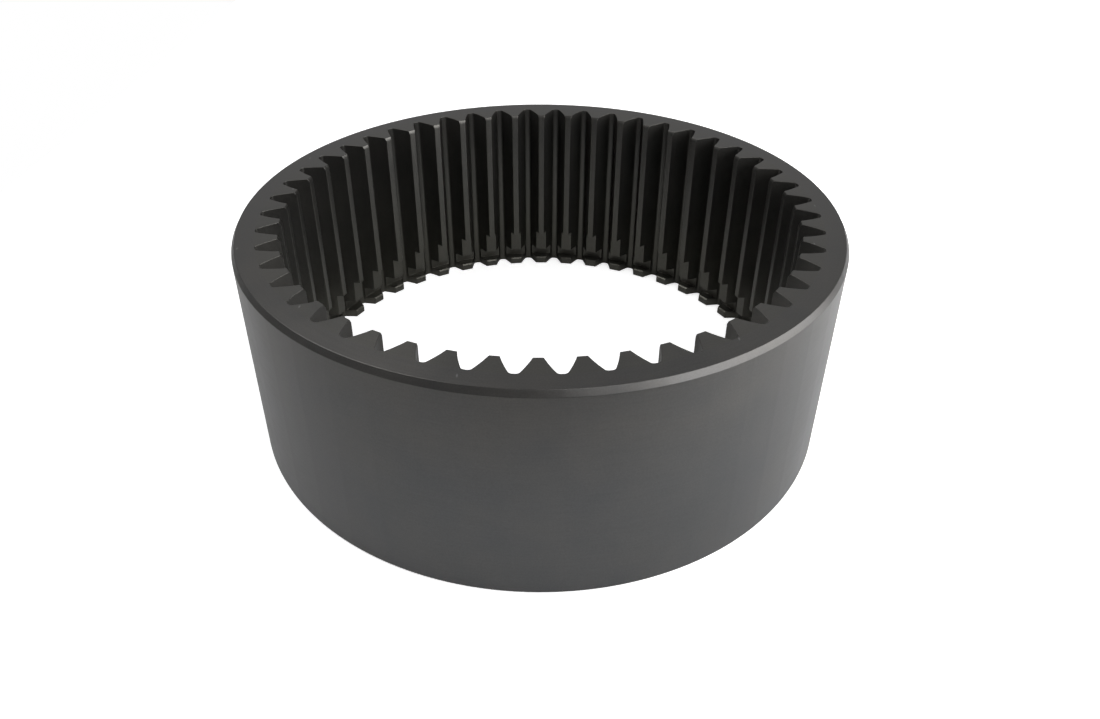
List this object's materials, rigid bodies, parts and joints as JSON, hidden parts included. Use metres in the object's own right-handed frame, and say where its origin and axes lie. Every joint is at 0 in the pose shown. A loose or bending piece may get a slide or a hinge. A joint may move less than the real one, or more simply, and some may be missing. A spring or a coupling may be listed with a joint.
{
  "type": "internal ring gear",
  "caption": "Internal ring gear with straight involute teeth, bevelled at one end and counterbored at the other with a groove for a retaining ring.",
  "frame": {"origin": "centre of the bottom face, on the gear's axis", "axes": "+Z along the gear's axis, from the counterbored end to the bevelled end; a tooth is centred on +Y"},
  "size_m": [0.275, 0.275, 0.1],
  "materials": {
    "black_oxide_steel": "satin black oxide"
  },
  "bodies": {
    "root": {"ring_gear": "black_oxide_steel"}
  },
  "joints": []
}
